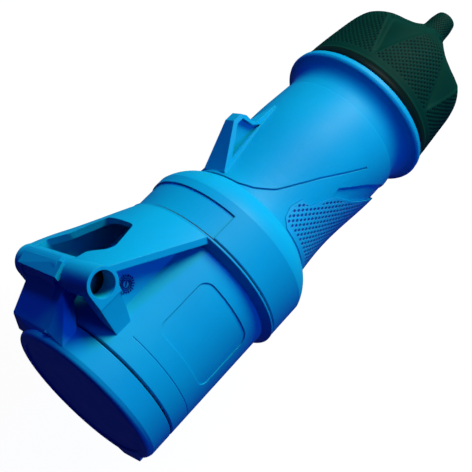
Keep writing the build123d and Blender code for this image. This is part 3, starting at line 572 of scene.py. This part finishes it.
armFoot = {
    "corners": ((5.0, 19.1, 39.5), (5.0, -6.9, 39.5), (7.0, 19.1, 36.5), (7.0, -6.9, 36.5),
                (-7.3, 19.2, 32.9), (-7.3, -6.9, 32.3), (-8.7, -6.6, 31.6), (-0.6, -4.4, 32.8),
                (-0.6, 19.2, 32.8), (-9.4, 19.2, 26.4), (-10.2, 3.0, 29.6), (-9.9, -13.9, 27.7),
                (-2.8, -13.4, 27.9), (-2.8, 19.2, 25.0), (-9.0, 3.0, 24.0), (-3.0, 3.0, 24.0),
                (-9.0, -13.0, 26.3), (-3.0, -13.0, 26.3)),
    "edge": 0.35, "flat": 4.0,
}

visor = {
    "corners": ((9.8, 18.9, 47.2), (4.7, 18.6, 46.0), (5.4, 18.7, 44.9), (9.0, 18.9, 44.0),
                (9.8, -7.9, 47.2), (4.1, -7.9, 45.1), (4.2, -7.9, 43.0), (9.0, -7.9, 43.0)),
    "edge": 0.2, "flat": 4.0,
}


def makeBlock(name, block):
    # flat faces between the corners, and narrow rounded edges
    bm = bmesh.new()
    for corner in block["corners"]:
        bm.verts.new(corner)
    bmesh.ops.convex_hull(bm, input=bm.verts[:])
    bmesh.ops.dissolve_limit(bm, angle_limit=math.radians(block["flat"]), verts=bm.verts[:],
                             edges=bm.edges[:])
    bmesh.ops.bevel(bm, geom=bm.edges[:], offset=block["edge"], segments=2, profile=0.5,
                    affect="EDGES", material=-1)
    bmesh.ops.recalc_face_normals(bm, faces=bm.faces)
    return layPiece(bm, name, smooth=False)


# Housings: copies of the CAD pieces with a little cut away

def cutAway(target, cutter):
    # take one piece out of another and keep the result as plain mesh
    change = target.modifiers.new("cut", "BOOLEAN")
    change.operation = "DIFFERENCE"
    change.solver = "EXACT"
    change.object = cutter
    shape = target.evaluated_get(bpy.context.evaluated_depsgraph_get())
    mesh = bpy.data.meshes.new_from_object(shape)
    target.modifiers.clear()
    target.data = mesh
    bpy.data.objects.remove(cutter)


def copyNode(node, name):
    # a CAD piece's mesh once more, with its loose triangles merged
    bm = bmesh.new()
    bm.from_mesh(nodes[node].data)
    bmesh.ops.remove_doubles(bm, verts=bm.verts, dist=weld["loaded"])
    bmesh.ops.transform(bm, matrix=layDown.inverted(), verts=bm.verts)
    return layPiece(bm, name, smooth=False)


# the right strut leans in towards the collar, so a wedge comes off its side, down to the collar's round
strut = {"wedge": ((-25.2, 33.5), (-24.8, 33.5), (-22.4, 21.4), (-22.0, 17.0), (-25.2, 17.0)), "x": (2.0, 14.0),
         "collar": 31.0, "collarLength": 40.0, "around": 180}


def makeForkHousing():
    housing = copyNode("front_housing", "forkHousing")
    bm = bmesh.new()
    for y, z in strut["wedge"]:
        for x in strut["x"]:
            bm.verts.new((x, y, z))
    bmesh.ops.convex_hull(bm, input=bm.verts[:])
    wedge = layPiece(bm, "strutWedge", smooth=False)
    bm = bmesh.new()
    turned = Matrix.Rotation(math.radians(90), 4, "Y")
    bmesh.ops.create_cone(bm, cap_ends=True, segments=strut["around"], radius1=strut["collar"],
                          radius2=strut["collar"], depth=strut["collarLength"], matrix=turned)
    cutAway(wedge, layPiece(bm, "collarForm", smooth=False))
    cutAway(housing, wedge)
    return housing


# the handle sweeps into the rear rim more tightly than the CAD piece does
flare = {"sweep": ((131.6, 26.46), (135.5, 26.5), (138.2, 27.1), (140.2, 28.3), (141.5, 29.8), (142.3, 31.06)),
         "clear": 33.0, "around": 240, "step": 0.35}


def makeFlaredHousing():
    housing = copyNode("rear_housing", "flaredHousing")
    bm = bmesh.new()
    sweep = smoothLine(flare["sweep"], flare["step"])
    above = [(flare["sweep"][-1][0], flare["clear"]), (flare["sweep"][0][0], flare["clear"])]
    spinLoop(bm, [*sweep, *above, sweep[0]], flare["around"])
    cutAway(housing, layPiece(bm, "sweepForm", smooth=False))
    return housing


# Month dial moulded beside the hinge: two rings, short ticks and a plain pointer

dial = {
    "middle": (19.0, -18.7, 30.5), "rise": 0.3, "around": 48, "edge": 0.04,
    "rings": ((1.4, 0.42), (2.05, 0.294)), "ticks": 20, "tickRadius": 2.9, "tickLengths": (0.95, 0.7),
    "tickWidth": 0.42, "pointer": (1.8, 0.4), "pointerTurn": 0.7,
}


def addRing(bm, radius, line):
    edges = set()
    for edgeRadius in (radius + line / 2, radius - line / 2):
        circle = bmesh.ops.create_circle(bm, cap_ends=False, radius=edgeRadius, segments=dial["around"])
        edges.update(edge for vert in circle["verts"] for edge in vert.link_edges)
    faces = bmesh.ops.bridge_loops(bm, edges=list(edges))["faces"]
    top = bmesh.ops.extrude_face_region(bm, geom=faces)["geom"]
    verts = [item for item in top if isinstance(item, bmesh.types.BMVert)]
    bmesh.ops.translate(bm, vec=(0, 0, dial["rise"]), verts=verts)


def addBar(bm, length, width, radius, turn):
    place = Matrix.Translation((radius, 0.0, dial["rise"] / 2))
    matrix = Matrix.Rotation(turn, 4, "Z") @ place @ Matrix.Diagonal((length, width, dial["rise"], 1.0))
    bar = bmesh.ops.create_cube(bm, size=1.0, matrix=matrix)["verts"]
    edges = list({edge for vert in bar for edge in vert.link_edges})
    bmesh.ops.bevel(bm, geom=edges, offset=dial["edge"], segments=1, profile=0.5, affect="EDGES", material=-1)


def makeDial():
    bm = bmesh.new()
    for radius, line in dial["rings"]:
        addRing(bm, radius, line)
    for tick in range(dial["ticks"]):
        length = dial["tickLengths"][tick % 2]
        addBar(bm, length, dial["tickWidth"], dial["tickRadius"], 2 * math.pi * tick / dial["ticks"])
    addBar(bm, *dial["pointer"], 0.0, dial["pointerTurn"])
    bmesh.ops.recalc_face_normals(bm, faces=bm.faces)
    # the dial faces the right side of the connector
    bmesh.ops.rotate(bm, cent=(0, 0, 0), matrix=Matrix.Rotation(math.radians(90), 3, "X"), verts=bm.verts)
    bmesh.ops.translate(bm, vec=dial["middle"], verts=bm.verts)
    return layPiece(bm, "monthDial", smooth=False)


# The scene

addCamera()
addLamps()
addWorld()
addFloor(cadBox[0][2])
print("camera, lamps and floor")

materials = {name: makePlastic(name) for name in plastics}
materials.update({name: makeMetal(name) for name in metals})
addDimples(materials["softGrip"])
dressNodes(materials)
print("materials on the CAD nodes")

paintShadeInHollows(materials["knurledGreen"], knurl["dark"])
ribbedNut = makeNut()
ribbedNut.data.materials.append(materials["knurledGreen"])
ribbedNut.data.materials.append(materials["glandBlack"])
bandLimit = (nut["band"][1] + nut["bandEdge"]) * metre
for face in ribbedNut.data.polygons:
    face.material_index = 1 if face.center.x < bandLimit else 0
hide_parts("gland_nut")
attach(ribbedNut, "gland_nut")
print("nut", len(ribbedNut.data.polygons), "faces")

for name, block in {"armFoot": armFoot, "hoodVisor": visor}.items():
    piece = makeBlock(name, block)
    piece.data.materials.append(materials["blueLid"])
    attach(piece, "lid")
for node, piece in {"front_housing": makeForkHousing(), "rear_housing": makeFlaredHousing()}.items():
    piece.data.materials.clear()
    piece.data.materials.append(materials["blueHousing"])
    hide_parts(node)
    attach(piece, "connector")
monthDial = makeDial()
# the dial's dark navy is painted shade
monthDial.data.materials.append(materials["dialPaintedShade"])
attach(monthDial, "connector")
print("arm foot, hood, housings and dial")

bpy.context.scene.view_settings.view_transform = "Standard"
